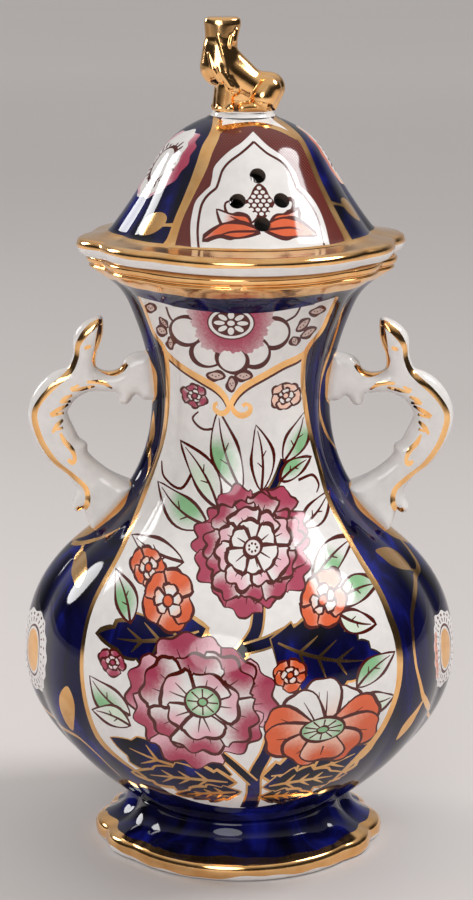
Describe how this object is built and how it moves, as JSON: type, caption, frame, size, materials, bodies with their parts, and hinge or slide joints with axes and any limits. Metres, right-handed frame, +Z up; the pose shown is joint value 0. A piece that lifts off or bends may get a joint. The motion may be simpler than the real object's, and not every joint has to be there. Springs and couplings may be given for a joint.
{
  "type": "potpourri vase",
  "caption": "Covered lobed baluster vase on a spreading foot, with scroll handles and a pierced domed lid topped by a seated animal, for dried petals.",
  "frame": {"origin": "on the table under the middle of the foot", "axes": "+Z up the vase, -Y out of the front panel, +X towards the right handle as seen from the front"},
  "size_m": [0.1556, 0.1556, 0.2986],
  "materials": {
    "white_glaze": "gloss",
    "cobalt_glaze": "gloss",
    "gilding": "polished"
  },
  "bodies": {
    "vase": {"belly": "white_glaze", "neck": "white_glaze", "collar": "white_glaze", "foot": "cobalt_glaze", "handle_left": "white_glaze", "handle_right": "white_glaze"},
    "cover": {"lid": "white_glaze", "finial": "gilding"}
  },
  "joints": [
    {"name": "lid_lift", "type": "slide", "parent": "vase", "child": "cover", "axis": [0, 0, 1], "range_m": [0, 0.06]}
  ]
}
